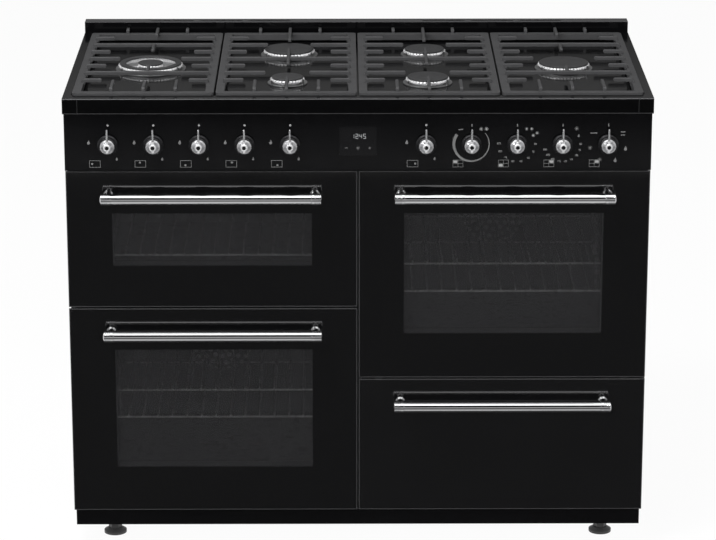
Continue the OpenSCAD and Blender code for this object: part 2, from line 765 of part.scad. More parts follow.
// Heating elements: a grill loop under two oven roofs and a ring round each fan
element_r = 3.25;
ring_r = 92;
grill_loops = [65, 130];
grill_set = 40;
grill_drop = 18;
ring_leg_x = 20;
fan_mid_y = (cover_y + cavity_back_y) / 2;
module grill_loop(o) {
    bend_y = front_y + grill_set + grill_loops[1];
    for (r = grill_loops) translate([o[0], bend_y, cavity_top(o) - grill_drop]) {
        rotate(180) rotate_extrude(angle = 180) translate([r, 0]) circle(element_r);
        for (s = [-1, 1]) rod_y(element_r, 0, cavity_back_y - bend_y, s * r);
    }
}
module fan_ring(o) {
    z = cavity_top(o) - o[4] / 2;
    translate([o[0], fan_mid_y, z]) rotate([90, 0, 0])
        rotate_extrude() translate([ring_r, 0]) circle(element_r);
    for (s = [-1, 1])
        rod_y(element_r * 0.9, fan_mid_y, cavity_back_y - fan_mid_y, o[0] + s * ring_leg_x,
            z + sqrt(ring_r * ring_r - ring_leg_x * ring_leg_x));
}
module heating_elements() {
    color([0.25, 0.23, 0.22]) {
        grill_loop(GRILL);
        grill_loop(RIGHT);
        fan_ring(LEFT);
        fan_ring(RIGHT);
    }
}

// Fan covers: a shallow box over each fan with rings of holes
cover_w = 250;
cover_r = 14;
cover_t = 1.5;
module fan_covers() {
    color([0.16, 0.16, 0.17]) for (o = [LEFT, RIGHT]) {
        z = cavity_top(o) - o[4] / 2;
        difference() {
            tunnel_y(cover_w, cover_w, cover_r, cover_y, cavity_back_y - cover_y, o[0], z);
            tunnel_y(cover_w - 2 * cover_t, cover_w - 2 * cover_t, cover_r - cover_t,
                cover_y + cover_t, cavity_back_y - cover_y, o[0], z);
            for (ring = [1:4], i = [0:6 * ring - 1])
                rotate_about(o[0], z, i * 60 / ring)
                    rod_y(5, cover_y - cut, cover_t + 2 * cut, o[0] + ring * 14, z);
        }
    }
}
module rotate_about(x, z, a) {
    translate([x, 0, z]) rotate([0, a, 0]) translate([-x, 0, -z]) children();
}

// Fans: a disc with straight blades on a shaft that turns in the motor behind the cavity
fan_depth = 18;
fan_hub_r = 12;
blade_l = 38;
blade_t = 1.2;
motor_y = cavity_back_y + cavity_t + seat_gap;
motor_r = 28;
motor_l = 34;
motor_neck_r = 14;
motor_neck_l = 12;
motor_strap = [90, 3, 24];
module oven_fan(o) {
    z = cavity_top(o) - o[4] / 2;
    color(steel) {
        rod_y(fan_r - blade_l / 3, fan_mid_y + fan_depth / 2 - 1, 1, o[0], z);
        rod_y(fan_hub_r, fan_mid_y - fan_depth / 2 + 4, fan_depth - 4, o[0], z);
        rod_y(shaft_r, fan_mid_y, motor_y + motor_l - 4 - fan_mid_y, o[0], z);
        for (i = [0:fan_blades - 1]) rotate_about(o[0], z, i * 360 / fan_blades)
            span([o[0] + fan_r - blade_l, fan_mid_y - fan_depth / 2, z - blade_t / 2],
                [o[0] + fan_r, fan_mid_y + fan_depth / 2, z + blade_t / 2]);
    }
}
module left_oven_fan() { oven_fan(LEFT); }
module right_oven_fan() { oven_fan(RIGHT); }
module fan_motors() {
    color(steel) for (o = [LEFT, RIGHT]) {
        z = cavity_top(o) - o[4] / 2;
        difference() {
            union() {
                translate([o[0] - motor_strap[0] / 2, motor_y, z - motor_strap[2] / 2]) cube(motor_strap);
                rod_y(motor_neck_r, motor_y, motor_neck_l, o[0], z);
                rod_y(motor_r, motor_y + motor_neck_l, motor_l, o[0], z);
            }
            rod_y(shaft_r + running_gap, motor_y - cut, motor_l, o[0], z);
        }
    }
}

// Drawer: a face, a box with a slide on each side, and the fixed channels they run in
slide_t = 8;
slide_h = 20;
box_t = 1.5;
drawer_face_t = 18;
box_y = face_y + drawer_face_t;
box_z = drawer_mid_z - drawer_h / 2;
slide_play = 0.4;
runner_tab_w = 10;
runner_tab_h = 48;
module drawer_front() {
    color(enamel) difference() {
        span([column_gap / 2, face_y, face_bottom_z], [face_x, box_y, drawer_top_z]);
        span([column_gap / 2 + sheet, face_y + sheet, face_bottom_z + sheet],
            [face_x - sheet, box_y - sheet, drawer_top_z - sheet]);
    }
}
module drawer_box() {
    half = drawer_w / 2;
    color(steel) {
        difference() {
            span([column_x - half - box_t, box_y, box_z - box_t],
                [column_x + half + box_t, box_y + drawer_d + 2 * box_t, box_z + drawer_h]);
            span([column_x - half, box_y + box_t, box_z],
                [column_x + half, box_y + box_t + drawer_d, box_z + drawer_h + cut]);
        }
        for (s = [-1, 1]) scale_about(column_x, s)
            span([column_x + half + box_t, box_y + 6, drawer_mid_z - slide_h / 2],
                [column_x + half + box_t + slide_t, box_y + drawer_d, drawer_mid_z + slide_h / 2]);
    }
}
module scale_about(x, s) {
    translate([x, 0, 0]) scale([s, 1, 1]) translate([-x, 0, 0]) children();
}
module drawer_runners() {
    inner_x = column_x + drawer_w / 2 + box_t + slide_play;
    outer_x = inner_x + slide_t;
    gap_z = slide_h / 2 + slide_play;
    color(steel) for (s = [-1, 1]) scale_about(column_x, s) {
        difference() {
            span([inner_x, front_y, drawer_mid_z - gap_z - sheet],
                [outer_x + sheet, front_y + drawer_d, drawer_mid_z + gap_z + sheet]);
            span([inner_x - cut, front_y - cut, drawer_mid_z - gap_z],
                [outer_x, front_y + drawer_d + cut, drawer_mid_z + gap_z]);
        }
        span([outer_x, front_y, drawer_mid_z - runner_tab_h / 2],
            [outer_x + runner_tab_w, front_y + sheet, drawer_mid_z + runner_tab_h / 2]);
    }
}

// Door glass: the dark outer pane and the clear inner pane behind it
pane_overlap = 12;
function window_mid_z(o) = door_top(o) - window_drop - o[3] / 2;
module door_glass(o) {
    color([0.02, 0.02, 0.022]) {
        span([o[0] - column_w / 2, face_y, o[1]], [o[0] + column_w / 2, face_y + glass_t, door_top(o)]);
        tunnel_y(window_w + 2 * pane_overlap - 1, o[3] + 2 * pane_overlap - 1, 6,
            frame_back_y - inner_glass_t, inner_glass_t, o[0], window_mid_z(o));
    }
}

// Door frame: a pressed tray behind the glass, with the window's tunnel and the hinge blocks
tray_t = 1.5;
block_h = 24;
block_w = hinge_w + 2 * hinge_pin_l + 6;
module door_frame(o) {
    w = column_w - 2 * frame_inset;
    low_z = o[1] + frame_inset;
    high_z = door_top(o) - frame_inset;
    y0 = face_y + glass_t;
    color(steel) difference() {
        union() {
            difference() {
                span([o[0] - w / 2, y0, low_z], [o[0] + w / 2, frame_back_y, high_z]);
                span([o[0] - w / 2 + tray_t, y0 - cut, low_z + tray_t],
                    [o[0] + w / 2 - tray_t, frame_back_y - inner_glass_t - tray_t, high_z - tray_t]);
            }
            tunnel_y(window_w + 2 * tray_t, o[3] + 2 * tray_t, 5, y0, frame_t, o[0], window_mid_z(o));
            for (s = [-1, 1])
                span([o[0] + s * hinge_x - block_w / 2, y0, low_z],
                    [o[0] + s * hinge_x + block_w / 2, frame_back_y, low_z + block_h]);
        }
        tunnel_y(window_w, o[3], 4, y0 - cut, frame_t + 2 * cut, o[0], window_mid_z(o));
        tunnel_y(window_w + 2 * pane_overlap, o[3] + 2 * pane_overlap, 6.5,
            frame_back_y - inner_glass_t, inner_glass_t + cut, o[0], window_mid_z(o));
        for (s = [-1, 1]) {
            span([o[0] + s * hinge_x - hinge_w / 2 - hinge_play, y0 - cut, low_z - cut],
                [o[0] + s * hinge_x + hinge_w / 2 + hinge_play, frame_back_y + cut,
                    o[1] + hinge_rise + hinge_arm_h]);
            rod_x(hinge_pin_r + running_gap, o[0] + s * hinge_x, block_w + 2 * cut, pivot_y,
                o[1] + hinge_rise);
        }
    }
}

// A handle: a bar between two ringed collars, each on a post from the face
ring_groove = 0.7;
module handle(x, top_z) {
    z = top_z - handle_drop;
    y = face_y - bar_standoff;
    color(chrome) {
        rod_x(bar_r - 0.6, x, handle_l - 2 * collar_l + 2, y, z);
        for (s = [-1, 1]) {
            translate([x + s * handle_l / 2, y, z]) rotate([0, -90 * s, 0]) collar();
            translate([x + s * post_span / 2, y, z]) rotate([-90, 0, 0]) {
                cylinder(r = post_r, h = bar_standoff);
                translate([0, 0, bar_standoff - 4]) cylinder(r1 = post_r, r2 = post_r + 2.5, h = 4);
            }
        }
    }
}
module collar() {
    rotate_extrude() polygon(concat(
        [[0, 0], [bar_r - 2, 0], [bar_r, 1.5]],
        [for (i = [1:3]) each [
            [bar_r, i * 4 - 0.6], [bar_r - ring_groove, i * 4], [bar_r - ring_groove, i * 4 + 0.8],
            [bar_r, i * 4 + 1.4]
        ]],
        [[bar_r, collar_l - 1], [bar_r - 1, collar_l], [0, collar_l]]
    ));
}

module grill_door_glass() { door_glass(GRILL); }
module grill_door_frame() { door_frame(GRILL); }
module grill_door_handle() { handle(GRILL[0], door_top(GRILL)); }
module left_door_glass() { door_glass(LEFT); }
module left_door_frame() { door_frame(LEFT); }
module left_door_handle() { handle(LEFT[0], door_top(LEFT)); }
module right_door_glass() { door_glass(RIGHT); }
module right_door_frame() { door_frame(RIGHT); }
module right_door_handle() { handle(RIGHT[0], door_top(RIGHT)); }
module drawer_handle() { handle(column_x, drawer_top_z); }

// Pan supports
// A finger in side profile: it rises from the inner edge of the frame to the pan rest
frame_low_z = well_z + 4;
rise_run = 3;
finger_chamfer = 1.2;
tip_chamfer = 2;
root_x = grate_frame_w - 4;
module finger(length, w, both_ends = false) {
    end = both_ends ? [
        [length - root_x - rise_run, rest_z], [length - root_x, rest_z - rise_run],
        [length - root_x, frame_low_z], [length - grate_frame_w, frame_low_z],
        [length - grate_frame_w - rise_run, rest_z - finger_h]
    ] : [
        [length - tip_chamfer, rest_z], [length, rest_z - tip_chamfer],
        [length, rest_z - finger_h + tip_chamfer], [length - tip_chamfer, rest_z - finger_h]
    ];
    bevelled_bar(length, w) polygon(concat(
        [[root_x, frame_low_z], [root_x, rest_z - rise_run], [root_x + rise_run, rest_z]],
        end,
        [[grate_frame_w + rise_run, rest_z - finger_h], [grate_frame_w, frame_low_z]]
    ));
}
// A prong that points forward from a long finger
module side_prong(length) {
    rotate(-90) bevelled_bar(length, prong_w) polygon([
        [0, rest_z - finger_h], [0, rest_z], [length - tip_chamfer, rest_z], [length, rest_z - tip_chamfer],
        [length, rest_z - finger_h + tip_chamfer], [length - tip_chamfer, rest_z - finger_h]
    ]);
}
// A side profile given width w and bevelled along both of its top edges
module bevelled_bar(length, w) {
    intersection() {
        translate([0, w / 2, 0]) rotate([90, 0, 0]) linear_extrude(w) children();
        rotate([90, 0, 90]) linear_extrude(length) polygon([
            [-w / 2, well_z], [w / 2, well_z], [w / 2, rest_z - finger_chamfer],
            [w / 2 - finger_chamfer, rest_z], [finger_chamfer - w / 2, rest_z],
            [-w / 2, rest_z - finger_chamfer]
        ]);
    }
}
foot_pad_r = 5;
foot_pad_set = 30;
short_finger = 50;
front_prong = 78;
front_mid_prong = 66;
rear_mid_prong = 62;
rear_stub = 22;
burner_prong = 104;
side_prong_l = 50;
module pan_support(i, single) {
    half_w = grate_w / 2;
    half_d = grate_d / 2;
    bar_d = grate_d - grate_back_set;
    bar_y = -grate_back_set / 2;
    long_finger = half_w - (single ? wok_gap : burner_gap) / 2;
    translate([grate_x(i), grate_mid_y, 0]) color(iron) {
        difference() {
            translate([0, bar_y, frame_low_z])
                rounded_plate(grate_w, bar_d, grate_corner_r, frame_top_z - frame_low_z);
            translate([0, bar_y, frame_low_z - cut])
                rounded_plate(grate_w - 2 * grate_frame_w, bar_d - 2 * grate_frame_w, 3,
                    frame_top_z - frame_low_z + 2 * cut);
        }
        for (x = [-1, 1], y = [-1, 1])
            translate([x * (half_w - grate_frame_w / 2), bar_y + y * (bar_d / 2 - foot_pad_set),
                well_z + seat_gap])
                cylinder(r = foot_pad_r, h = frame_low_z - well_z - seat_gap + 1);
        for (n = [-3:3], s = [0, 180]) rotate(s) translate([-half_w, n * finger_pitch, 0])
            if (abs(n) % 2 == 1) finger(short_finger, finger_w);
            else if (single ? n == 0 : n != 0) finger(long_finger, finger_w);
        for (n = single ? [-2, 2] : [0]) translate([-half_w, n * finger_pitch, 0])
            finger(grate_w, finger_w, both_ends = true);
        for (n = [-1:1]) translate([n * finger_pitch, -half_d, 0]) rotate(90)
            finger(n != 0 ? front_prong : single ? front_mid_prong : burner_prong, prong_w);
        for (n = [-1:1]) translate([n * finger_pitch, half_d, 0])
            rear_prong(n != 0 ? rear_stub : single ? rear_mid_prong : burner_prong);
        if (single) {
            translate([0, 2 * finger_pitch, 0]) side_prong(side_prong_l);
            translate([0, -2 * finger_pitch, 0]) rotate(180) side_prong(side_prong_l);
        } else {
            side_prong(side_prong_l);
            rotate(180) side_prong(burner_y - burner_gap / 2);
        }
    }
}
// A prong on the rear bar, reaching back to the upstand and forward as long as it is given
module rear_prong(length) {
    low_z = frame_top_z - 3;
    under = min(length, grate_back_set + grate_frame_w);
    rotate(-90) bevelled_bar(length, prong_w) polygon(concat(
        [[0, rest_z - finger_h], [0, rest_z - tip_chamfer], [tip_chamfer, rest_z]],
        [[length - tip_chamfer, rest_z], [length, rest_z - tip_chamfer]],
        length > under + rise_run ? [[length, rest_z - finger_h], [under + rise_run, rest_z - finger_h],
            [under, low_z]] : [[length, low_z]],
        [[grate_back_set, low_z], [grate_back_set - rise_run, rest_z - finger_h]]
    ));
}
module pan_support_far_left() { pan_support(0, true); }
module pan_support_mid_left() { pan_support(1, false); }
module pan_support_mid_right() { pan_support(2, false); }
module pan_support_far_right() { pan_support(3, true); }

// Gas plugs: each turns in its tap and holds the spindle that slides in it
spindle_end_y = plug_y + 12;
module tap_plug(k) {
    color(brass) difference() {
        rod_y(plug_r, plug_y - 3, plug_l + 3, knob_x(k), knob_z);
        rod_y(shaft_bore_r, plug_y - 3 - cut, spindle_end_y + push_travel + 5 - plug_y, knob_x(k), knob_z);
    }
}
module tap_plug_1() { tap_plug(1); }
module tap_plug_2() { tap_plug(2); }
module tap_plug_3() { tap_plug(3); }
module tap_plug_4() { tap_plug(4); }
module tap_plug_5() { tap_plug(5); }
module tap_plug_6() { tap_plug(6); }

// Knobs: a bevelled skirt, a stepped grip, a hollow boss and a lever pin that shows the setting
knob_stand = push_travel + 1;
boss_hole_r = 3.5;
module knob(k) {
    gas = k <= 6;
    base = knob_stand;
    shaft_end = gas ? spindle_end_y : panel_y + 28;
    color(chrome) translate([knob_x(k), panel_y, knob_z]) {
        rotate([90, 0, 0]) rotate_extrude() polygon([
            [0, base], [knob_skirt_r - 1, base], [knob_skirt_r, base + 1], [knob_skirt_r, base + 2.5],
            [knob_skirt_r - 2.5, base + 5], [knob_grip_r + 1, base + 6], [knob_grip_r, base + 7],
            [knob_grip_r, knob_d - 9], [knob_grip_r - 2, knob_d - 7], [knob_boss_r + 2, knob_d - 5],
            [knob_boss_r, knob_d - 4], [knob_boss_r, knob_d - 1], [knob_boss_r - 1, knob_d],
            [boss_hole_r, knob_d], [boss_hole_r, knob_d - 2.5], [0, knob_d - 2.5]
        ]);
        rotate([90, 0, 0]) translate([0, 0, -(shaft_end - panel_y)])
            cylinder(r = spindle_r, h = shaft_end - panel_y + base + 1);
        translate([0, -(knob_d - 6.5), 0]) {
            cylinder(r1 = lever_r, r2 = lever_r * 0.85, h = lever_reach - 2);
            translate([0, 0, lever_reach - 2]) cylinder(r1 = lever_r * 0.85, r2 = lever_r * 0.5, h = 2);
        }
    }
}
module knob_1() { knob(1); }
module knob_2() { knob(2); }
module knob_3() { knob(3); }
module knob_4() { knob(4); }
module knob_5() { knob(5); }
module knob_6() { knob(6); }
module knob_7() { knob(7); }
module knob_8() { knob(8); }
module knob_9() { knob(9); }
module knob_10() { knob(10); }

side_panels();
back_panel();
front_frame();
base_pan();
plinth();
levelling_feet();
worktop();
rear_upstand();
control_panel();
clock();
grill_oven_cavity();
left_oven_cavity();
right_oven_cavity();
door_seals();
hinge_brackets();
oven_racks();
burner_cups();
burner_crowns();
burner_caps();
gas_rail();
oven_controls();
heating_elements();
fan_covers();
fan_motors();
drawer_runners();
left_oven_fan();
right_oven_fan();
grill_door_glass();
grill_door_frame();
grill_door_handle();
left_door_glass();
left_door_frame();
left_door_handle();
right_door_glass();
right_door_frame();
right_door_handle();
drawer_front();
drawer_box();
drawer_handle();
pan_support_far_left();
pan_support_mid_left();
pan_support_mid_right();
pan_support_far_right();
tap_plug_1();
tap_plug_2();
tap_plug_3();
tap_plug_4();
tap_plug_5();
tap_plug_6();
knob_1();
knob_2();
knob_3();
knob_4();
knob_5();
knob_6();
knob_7();
knob_8();
knob_9();
knob_10();
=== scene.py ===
import math

import bmesh
import bpy
from mathutils import Matrix, Vector


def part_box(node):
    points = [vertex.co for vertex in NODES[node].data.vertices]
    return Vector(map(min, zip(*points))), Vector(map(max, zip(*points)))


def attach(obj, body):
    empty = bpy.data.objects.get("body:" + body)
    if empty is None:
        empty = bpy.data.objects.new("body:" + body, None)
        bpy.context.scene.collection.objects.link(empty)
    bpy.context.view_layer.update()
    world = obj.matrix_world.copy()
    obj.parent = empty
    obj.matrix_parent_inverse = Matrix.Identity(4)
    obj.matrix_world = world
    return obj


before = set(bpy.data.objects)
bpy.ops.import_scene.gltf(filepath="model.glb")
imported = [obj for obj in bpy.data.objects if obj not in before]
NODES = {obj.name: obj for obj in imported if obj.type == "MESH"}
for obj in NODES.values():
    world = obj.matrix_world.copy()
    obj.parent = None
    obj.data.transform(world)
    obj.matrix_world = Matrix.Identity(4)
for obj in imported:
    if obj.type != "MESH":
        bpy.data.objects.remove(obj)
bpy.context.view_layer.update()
MM = 0.001

# Sizes and places worked out from the frame
PANEL_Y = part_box("control_panel")[0].y
CLOCK_LO, CLOCK_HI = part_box("clock")
PRINT_T = 0.08 * MM
GAS_KNOBS = range(1, 7)
OVEN_KNOBS = range(7, 11)


def knob_axis(k):
    """The middle of a knob's round skirt, whose lever pin stands up from it."""
    lo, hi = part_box(f"knob_{k}")
    skirt_r = (hi.x - lo.x) / 2
    return Vector(((lo.x + hi.x) / 2, lo.y, lo.z + skirt_r))


def new_object(name, data):
    thing = bpy.data.objects.new(name, data)
    bpy.context.scene.collection.objects.link(thing)
    return thing


def aim(thing, direction):
    thing.rotation_mode = "QUATERNION"
    thing.rotation_quaternion = direction.to_track_quat("-Z", "Y")


# Camera at the photograph's viewing angle: its place in metres, its tilt and yaw in radians
PHOTO_W = 716
FOCAL_PX = 3164
SENSOR_MM = 36
CAMERA_AT = (-0.0315, -6.0, 2.2914)
CAMERA_TILT = 0.293
CAMERA_YAW = 0.0055


def add_camera():
    data = bpy.data.cameras.new("camera")
    data.sensor_width = SENSOR_MM
    data.lens = SENSOR_MM * FOCAL_PX / PHOTO_W
    cam = new_object("camera", data)
    cam.location = CAMERA_AT
    aim(cam, Vector((math.sin(CAMERA_YAW) * math.cos(CAMERA_TILT),
                     math.cos(CAMERA_YAW) * math.cos(CAMERA_TILT),
                     -math.sin(CAMERA_TILT))))
    bpy.context.scene.camera = cam


# Shader building
class Look:
    """A procedural material on the piece's own coordinates, in metres."""

    def __init__(self, name, **sockets):
        self.mat = bpy.data.materials.new(name)
        self.mat.use_nodes = True
        self.tree = self.mat.node_tree
        self.bsdf = self.tree.nodes["Principled BSDF"]
        self.place = self.add("ShaderNodeTexCoord").outputs["Object"]
        self.set(**sockets)

    def add(self, kind, **inputs):
        node = self.tree.nodes.new(kind)
        for key, value in inputs.items():
            self.feed(node.inputs[key.replace("_", " ")], value)
        return node

    def feed(self, socket, value):
        if isinstance(value, bpy.types.NodeSocket):
            self.tree.links.new(value, socket)
        else:
            socket.default_value = value

    def set(self, **sockets):
        for key, value in sockets.items():
            self.feed(self.bsdf.inputs[key.replace("_", " ")], value)

    def math(self, operation, a, b=0.0, c=0.0):
        node = self.tree.nodes.new("ShaderNodeMath")
        node.operation = operation
        for socket, value in zip(node.inputs, (a, b, c)):
            self.feed(socket, value)
        return node.outputs[0]

    def axis(self, name):
        split = self.add("ShaderNodeSeparateXYZ", Vector=self.place)
        return split.outputs[name]

    def noise(self, scale, detail=3.0, stretch=(1, 1, 1), roughness=0.5):
        mapping = self.add("ShaderNodeMapping", Vector=self.place, Scale=stretch)
        node = self.add("ShaderNodeTexNoise", Vector=mapping.outputs[0], Scale=scale,
                        Detail=detail, Roughness=roughness)
        return node.outputs["Fac"]

    def spots(self, scale):
        return self.add("ShaderNodeTexVoronoi", Vector=self.place, Scale=scale).outputs["Distance"]

    def between(self, value, low, high, start=0.3, end=0.7):
        node = self.add("ShaderNodeMapRange", Value=value)
        node.inputs["From Min"].default_value = start
        node.inputs["From Max"].default_value = end
        node.inputs["To Min"].default_value = low
        node.inputs["To Max"].default_value = high
        return node.outputs[0]

    def blend(self, factor, first, second):
        node = self.tree.nodes.new("ShaderNodeMix")
        node.data_type = "RGBA"
        self.feed(node.inputs[0], factor)
        for socket, value in ((node.inputs[6], first), (node.inputs[7], second)):
            self.feed(socket, value if isinstance(value, bpy.types.NodeSocket) else (*value, 1))
        return node.outputs[2]

    def surface(self, height=None, distance=0.0, edge=0.0):
        """Small relief, and an edge whose highlight is as wide as a real worn or folded edge."""
        normal = None
        if edge:
            bevel = self.add("ShaderNodeBevel", Radius=edge)
            bevel.samples = BEVEL_SAMPLES
            normal = bevel.outputs[0]
        if height is not None:
            bump = self.add("ShaderNodeBump", Height=height, Distance=distance, Strength=1.0)
            if normal is not None:
                self.feed(bump.inputs["Normal"], normal)
            normal = bump.outputs[0]
        self.feed(self.bsdf.inputs["Normal"], normal)


BEVEL_SAMPLES = 4

# A painted highlight on the thin edge round a door's glass and the drawer's face
EDGE_W = 1.3 * MM
EDGE_HIGHLIGHT_TONE = (0.028, 0.028, 0.029)


def face_edge(look, name):
    """A mask, 1 on the thin edge round a door's glass or the drawer's face, where a highlight is painted.
    """
    lo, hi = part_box(name)
    mask = None
    for axis, low, high in (("X", lo.x, hi.x), ("Z", lo.z, hi.z)):
        value = look.axis(axis)
        for test in (look.between(value, 1, 0, low + EDGE_W, low + 1.5 * EDGE_W),
                     look.between(value, 0, 1, high - 1.5 * EDGE_W, high - EDGE_W)):
            mask = test if mask is None else look.math("MAXIMUM", mask, test)
    return mask


ENAMEL_TONES = ((0.0016, 0.0016, 0.0018), (0.0026, 0.0026, 0.0029))
DRAWER_TONES = ((0.0020, 0.0020, 0.0022), (0.003, 0.003, 0.0033))
# A painted highlight on the upstand's top, where the room's light falls
UPSTAND_TOP_HIGHLIGHT = (0.055, 0.055, 0.057)


def black_enamel(name, specular, tones, rough, mask=None, highlight_tone=None):
    """Gloss black enamel, a little cloudy, with a painted highlight tone where a mask is 1."""
    look = Look(name, Specular_IOR_Level=specular)
    tone = look.blend(look.noise(9), *tones)
    if mask:
        # A painted highlight where the mask is 1
        tone = look.blend(mask(look), tone, highlight_tone)
    look.set(Base_Color=tone, Roughness=look.between(look.noise(55), *rough))
    look.surface(look.noise(420, 2), 0.012 * MM, edge=1.0 * MM)
    return look.mat


# The drawer face's edge, where a highlight is painted
def drawer_edge(look):
    return face_edge(look, "drawer_front")


def upstand_top(look):
    """A mask, 1 on the upstand's top, where a highlight is painted for the room's light falling on it."""
    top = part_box("rear_upstand")[1].z
    return look.between(look.axis("Z"), 0, 1, top - 0.8 * MM, top - 0.2 * MM)


# The seams between the worktop's nose and its end caps, which carry a painted highlight line
NOSE_CAP_W = 28 * MM


def hob_enamel():
    """The worktop's enamel, with painted highlight lines along its nose's folds and seams, and painted
    shade on the nose's front face.
    """
    look = Look("hob_enamel", Specular_IOR_Level=0.09)
    lo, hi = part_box("worktop")
    x, y, z = (look.axis(name) for name in "XYZ")
    # Masks of the nose's front face and of its folds and seams, where highlights are painted
    front = look.between(y, 1, 0, lo.y + 0.4 * MM, lo.y + 1.6 * MM)
    upper = look.between(z, 0, 1, hi.z - 1.6 * MM, hi.z - 0.8 * MM)
    lower = look.between(z, 0.25, 0, lo.z + 1.0 * MM, lo.z + 2.0 * MM)
    from_seam = look.math("ABSOLUTE", look.math("SUBTRACT", look.math("ABSOLUTE", x), hi.x - NOSE_CAP_W))
    seam = look.between(from_seam, 0.12, 0, 0.4 * MM, 0.9 * MM)
    fold = look.math("MAXIMUM", upper, lower)
    line = look.math("MULTIPLY", front, look.math("MAXIMUM", fold, seam))
    tone = look.blend(look.noise(14), (0.0028, 0.0028, 0.003), (0.005, 0.005, 0.0055))
    # Painted shade: the nose's front face is darker than the rest
    tone = look.blend(front, tone, (0.0011, 0.0011, 0.0012))
    # Painted highlight lines on the front face's folds and seams
    look.set(Base_Color=look.blend(line, tone, (0.085, 0.085, 0.088)),
             Roughness=look.between(look.noise(90), 0.07, 0.13))
    look.surface(look.noise(300, 2), 0.01 * MM, edge=1.6 * MM)
    return look.mat


def cast_iron():
    look = Look("cast_iron", Specular_IOR_Level=0.14)
    grain = look.noise(1500, 4, roughness=0.65)
    look.set(Base_Color=look.blend(look.noise(40), (0.034, 0.034, 0.035), (0.052, 0.052, 0.054)),
             Roughness=look.between(grain, 0.45, 0.62))
    look.surface(grain, 0.12 * MM, edge=1.2 * MM)
    return look.mat


def cap_enamel():
    look = Look("cap_enamel", Specular_IOR_Level=0.18)
    grain = look.noise(1900, 3)
    look.set(Base_Color=look.blend(look.noise(60), (0.018, 0.018, 0.019), (0.034, 0.034, 0.035)),
             Roughness=look.between(grain, 0.34, 0.5))
    look.surface(grain, 0.05 * MM, edge=0.8 * MM)
    return look.mat


def rack_wire():
    """Dull plated wire, with a painted highlight: the front bar on each rack is painted brighter."""
    look = Look("rack_wire", Metallic=0.3)
    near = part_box("oven_racks")[0].y
    # Painted highlight: each rack's front bar is lighter where it catches the light
    bar = look.between(look.axis("Y"), 1, 0, near + 9 * MM, near + 12 * MM)
    wire = look.blend(look.noise(70), (0.50, 0.50, 0.51), (0.40, 0.40, 0.41))
    look.set(Base_Color=look.blend(bar, wire, (0.95, 0.95, 0.95)),
             Roughness=look.between(look.noise(130), 0.22, 0.34))
    look.surface(look.noise(2400, 2), 0.003 * MM, edge=0.4 * MM)
    return look.mat


def brushed_bar():
    """Chrome with faint polishing lines along the bar."""
    look = Look("handle_chrome", Metallic=1.0)
    lines = look.noise(900, 3, stretch=(0.02, 1, 1))
    look.set(Base_Color=look.blend(lines, (0.72, 0.72, 0.73), (0.62, 0.62, 0.63)),
             Roughness=look.between(lines, 0.07, 0.12))
    look.surface(lines, 0.001 * MM, edge=0.4 * MM)
    return look.mat


# The knob's round parts, from its axis, and how far its face stands from the panel
FACE_R = 13.2 * MM
FACE_DEPTH = 20.8 * MM
HOLE_R = 3.5 * MM
BOSS_R = 6.5 * MM
CONE_R = 10.6 * MM
LEVER_R = 2.0 * MM


def knob_metal(axis_at):
    """One satin metal painted in light and shade: a bright face and lever, a shaded cone and rim, and
    painted shade on the skirt, the grip wall and the hole in the boss.
    """
    look = Look("knob_chrome", Metallic=0.6, Specular_IOR_Level=0.25)
    flat = look.add("ShaderNodeMapping", Vector=look.place, Scale=(1, 0, 1))
    flat.inputs["Location"].default_value = (-axis_at.x, 0, -axis_at.z)
    reach = look.add("ShaderNodeVectorMath", Vector=flat.outputs[0])
    reach.operation = "LENGTH"
    radius = reach.outputs["Value"]
    # Masks for painted shade on the skirt and grip wall behind the face, and in the hole of the boss
    behind = look.between(look.axis("Y"), 0, 1, PANEL_Y - FACE_DEPTH, PANEL_Y - FACE_DEPTH + 0.5 * MM)
    skirt = look.math("MULTIPLY", look.between(radius, 0, 1, FACE_R, FACE_R + 0.4 * MM), behind)
    hole = look.between(radius, 1, 0, HOLE_R, HOLE_R + 0.3 * MM)
    dark = look.math("MAXIMUM", skirt, hole)
    # Painted shade on the cone between the boss and the rim, leaving out the lever
    cone_shade = look.math("MULTIPLY", look.between(radius, 0, 1, BOSS_R, BOSS_R + 0.6 * MM),
                     look.between(radius, 1, 0, CONE_R, CONE_R + 1.0 * MM))
    aside = look.math("ABSOLUTE", look.math("SUBTRACT", look.axis("X"), axis_at.x))
    cone_shade = look.math("MULTIPLY", cone_shade, look.between(aside, 0, 1, LEVER_R, LEVER_R + 0.5 * MM))
    turned = look.noise(260, 3)
    # Painted light and shade on one metal: bright face and lever, darker rim and cone
    bright = look.blend(turned, (0.72, 0.72, 0.73), (0.50, 0.50, 0.51))
    rim_shade = look.between(radius, 0, 1, CONE_R, CONE_R + 0.6 * MM)
    bright = look.blend(rim_shade, bright, look.blend(turned, (0.40, 0.40, 0.41), (0.26, 0.26, 0.265)))
    bright = look.blend(cone_shade, bright, look.blend(turned, (0.30, 0.30, 0.31), (0.16, 0.16, 0.165)))
    # Painted shade: the skirt, grip wall and hole take the dark tone
    look.set(Base_Color=look.blend(dark, bright, (0.014, 0.014, 0.015)),
             Roughness=look.between(turned, 0.16, 0.3))
    look.surface(look.noise(1600, 2), 0.004 * MM, edge=1.0 * MM)
    return look.mat


def alloy(name, tone, rough, metal=1.0):
    look = Look(name, Metallic=metal)
    grain = look.noise(1100, 3)
    look.set(Base_Color=look.blend(look.noise(70), (tone,) * 3, (tone * 0.82, tone * 0.82, tone * 0.84)),
             Roughness=look.between(grain, rough * 0.8, rough * 1.3))
    look.surface(grain, 0.02 * MM, edge=0.5 * MM)
    return look.mat


